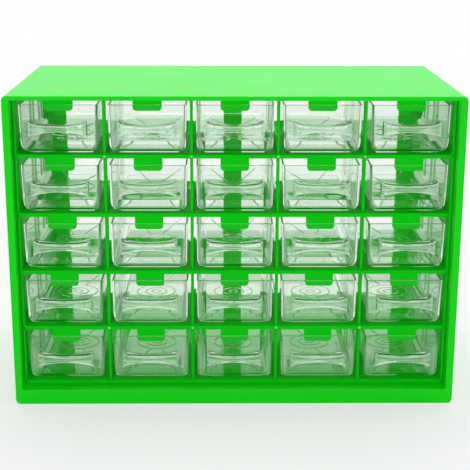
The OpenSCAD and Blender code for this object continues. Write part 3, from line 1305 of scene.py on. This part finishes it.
    def build(self) -> None:
        """Builds one drawer for each node, in the node's place."""
        material = self.finish.material()
        (tub, mouth, painted_highlight), handle = self.tub(), self.handle()
        grip_highlight = np.array([*self.grip_highlight, *self.grip_highlight[-2::-1]])
        for node in self.nodes:
            low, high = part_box(node)
            move = np.array([(low.x + high.x) / 2 / MM, RIM_Y, low.z / MM])
            surface = Surface()
            surface.grid(tub + move, leave_out=mouth, painted_highlight=painted_highlight)
            surface.grid(handle + move, closed=False, painted_highlight=grip_highlight)
            for strip in self.patch(handle):
                surface.grid(strip + move, closed=False)
            dress(surface.piece(node + "_tub"), node, "clear_plastic", material, node)


# ---- studio


@dataclass
class Studio:
    """A pale floor that fades into the background, and soft lamps. In metres.

    The studio is white behind and above the cabinet and dim in front of it, so mirrored
    rays find a dim front. Each lamp has a name, a place, a size, a power and whether it
    is mirrored.
    """

    floor_size: float = 12.0
    floor_colour: Triple = (0.85, 0.85, 0.85)
    floor_glow: float = 0.55
    floor_fades: Span = (0.2, 0.7)
    floor_dims: Span = (0.1, -0.2)
    world_turns: Span = (0.3, -0.3)
    lift: float = 1.2
    ahead: float = 0.2
    behind: float = 0.9
    dim: float = 0.1
    aim: Triple = (0, 0, 0.1)
    lamps: tuple[tuple[str, Triple, float, float, bool], ...] = (
        ("top_softbox", (0.1, 0.1, 1.3), 1.2, 10.0, True),
        ("upper_softbox", (-0.2, -1.5, 1.1), 0.8, 3.0, False),
        ("front_softbox", (-0.1, -1.8, 0.25), 0.6, 9.0, False),
    )

    def seen(self, shader: Shader) -> Value:
        """One on rays that show the background: seen, mirrored or refracted."""
        return shader.any_ray(Ray.SEEN, Ray.MIRRORED, Ray.REFRACTED)

    def mirrored(self, shader: Shader) -> Value:
        """One on rays that were mirrored on their way, and zero on the others."""
        return shader.ray(Ray.TIMES_MIRRORED).least(1.0)

    def floor(self) -> None:
        """Lays the floor, which glows like the background away from the cabinet."""
        half = self.floor_size / 2
        ways = ((-1, -1), (1, -1), (1, 1), (-1, 1))
        corners = [(x * half, y * half, 0) for x, y in ways]
        mesh = bpy.data.meshes.new("floor")
        mesh.from_pydata(corners, [], [(0, 1, 2, 3)])
        floor = bpy.data.objects.new("floor", mesh)
        bpy.context.scene.collection.objects.link(floor)
        made = bpy.data.materials.new("pale_floor")
        shader = Shader(made)
        colour = {"Color": (*self.floor_colour, 1)}
        paper = shader.node("ShaderNodeBsdfDiffuse", {}, colour)
        glow, dark = (
            shader.lit("ShaderNodeEmission", WHITE, strength)
            for strength in (1.0, self.dim)
        )
        place, length = shader.place(), {"operation": "LENGTH"}
        away = shader.node("ShaderNodeVectorMath", length, {0: place}, "Value")
        share = shader.fade(away, *self.floor_fades, self.floor_glow)
        front = shader.fade(shader.axis(place, "Y"), *self.floor_dims)
        lit = shader.mix(self.seen(shader) * share, paper, glow)
        shader.finish(shader.mix(front * self.mirrored(shader), lit, dark))
        mesh.materials.append(made)

    def world(self) -> None:
        """Sets the white background and the even light around the part."""
        world = bpy.data.worlds.new("studio")
        bpy.context.scene.world = world
        world.cycles.sampling_method = "NONE"
        shader = Shader(world)
        ahead, behind, white, dark = (
            shader.lit("ShaderNodeBackground", WHITE, strength)
            for strength in (self.ahead, self.behind, 1.0, self.dim)
        )
        outward = shader.node("ShaderNodeTexCoord", {}, {}, "Generated")
        back, up = shader.axis(outward, "Y"), shader.axis(outward, "Z")
        light = shader.mix(shader.fade(back, *self.world_turns), behind, ahead)
        light = shader.mix(self.seen(shader), light, white)
        hidden = shader.fade(back + up * self.lift, *self.world_turns)
        light = shader.mix(hidden * self.mirrored(shader), light, dark)
        shader.finish(light, "ShaderNodeOutputWorld")

    def light(self) -> None:
        """Hangs the lamps, each turned to the cabinet's middle."""
        for name, place, size, power, mirrored in self.lamps:
            data = bpy.data.lights.new(name, "AREA")
            data.shape = "SQUARE"
            data.size = size
            data.energy = power
            lamp = bpy.data.objects.new(name, data)
            lamp.visible_glossy = mirrored
            lamp.location = place
            towards = Vector(self.aim) - Vector(place)
            lamp.rotation_euler = towards.to_track_quat("-Z", "Y").to_euler()
            bpy.context.scene.collection.objects.link(lamp)

    def build(self) -> None:
        """Sets up the floor, the background and the lamps."""
        self.floor()
        self.world()
        self.light()


@dataclass
class PhotoCamera:
    """The photograph's camera, fitted to the casing's corners. In metres."""

    right: float = -9.68 * MM
    before_rim: float = 729.84 * MM
    height: float = 322.16 * MM
    turn: float = math.radians(0.763)
    tilt: float = math.radians(15.442)
    roll: float = math.radians(0.180)
    focal_pixels: float = 1145.9
    image_pixels: float = 470
    sensor: float = 36
    clip_start: float = 10 * MM

    def build(self) -> None:
        """Adds the camera and makes it the scene's own."""
        level = Vector((math.cos(self.turn), -math.sin(self.turn), 0))
        onward = Vector((math.sin(self.turn), math.cos(self.turn), 0))
        ahead = onward * math.cos(self.tilt) - Vector((0, 0, math.sin(self.tilt)))
        upright = level.cross(ahead)
        across = level * math.cos(self.roll) + upright * math.sin(self.roll)
        up = upright * math.cos(self.roll) - level * math.sin(self.roll)
        data = bpy.data.cameras.new("photo_camera")
        data.sensor_width = self.sensor
        data.lens = self.sensor * self.focal_pixels / self.image_pixels
        data.clip_start = self.clip_start
        camera = bpy.data.objects.new("photo_camera", data)
        turned = Matrix((across, up, -ahead)).transposed()
        place = Vector((self.right, CAD_BOX[0][1] - self.before_rim, self.height))
        camera.matrix_world = Matrix.Translation(place) @ turned.to_4x4()
        bpy.context.scene.collection.objects.link(camera)
        bpy.context.scene.camera = camera


CASING_GREEN = MouldedPlastic(
    name="casing_green",
    colour=(0.001, 0.74, 0.002),
    pale=(0.004, 0.80, 0.006),
    gloss=0.32,
    smear=0.08,
    skin=0.012 * MM,
    shine=0.25,
)
LATTICE_GREEN = MouldedPlastic(
    name="lattice_green",
    colour=(0.001, 0.58, 0.003),
    pale=(0.004, 0.65, 0.008),
    gloss=0.42,
    smear=0.08,
    skin=0.012 * MM,
    shine=0.05,
)
# Pale green of the gate marks: partly the plastic's stress-whitening, partly painted
# highlight.
GATE_WHITENED_AND_HIGHLIGHT = MouldedPlastic(
    name="gate_whitened_and_highlight",
    colour=(0.26, 0.87, 0.25),
    pale=(0.38, 0.92, 0.36),
    gloss=0.30,
    smear=0.10,
    skin=0.02 * MM,
    shine=0.5,
)
# The clear plastic's green tinge is painted reflection of the green casing, and the pale
# green edge colour is painted highlight.
DRAWER_CLEAR = ClearPlastic(
    name="drawer_clear",
    green_reflection_tint=(0.945, 1.0, 0.95),
    passed=(0.985, 1.0, 0.985),
    painted_highlight=(0.70, 0.96, 0.72),
    index=1.50,
    haze=0.03,
    wave=0.02 * MM,
)
BOUNCES = 24
SEE_THROUGH = 32


def main() -> None:
    """Builds the camera, the studio and the dressed cabinet."""
    logging.basicConfig(level=logging.INFO, format="%(name)s: %(message)s")
    scene = bpy.context.scene
    scene.view_settings.view_transform = "Standard"
    scene.cycles.max_bounces = scene.cycles.transmission_bounces = BOUNCES
    scene.cycles.transparent_max_bounces = SEE_THROUGH
    PhotoCamera().build()
    Studio().build()
    casing = Casing(CASING_GREEN)
    casing.build()
    Lattice(casing, LATTICE_GREEN, GATE_WHITENED_AND_HIGHLIGHT).build()
    nodes = sorted(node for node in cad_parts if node.startswith("drawer_"))
    Drawers(DRAWER_CLEAR, nodes).build()


if __name__ == "__main__":
    main()
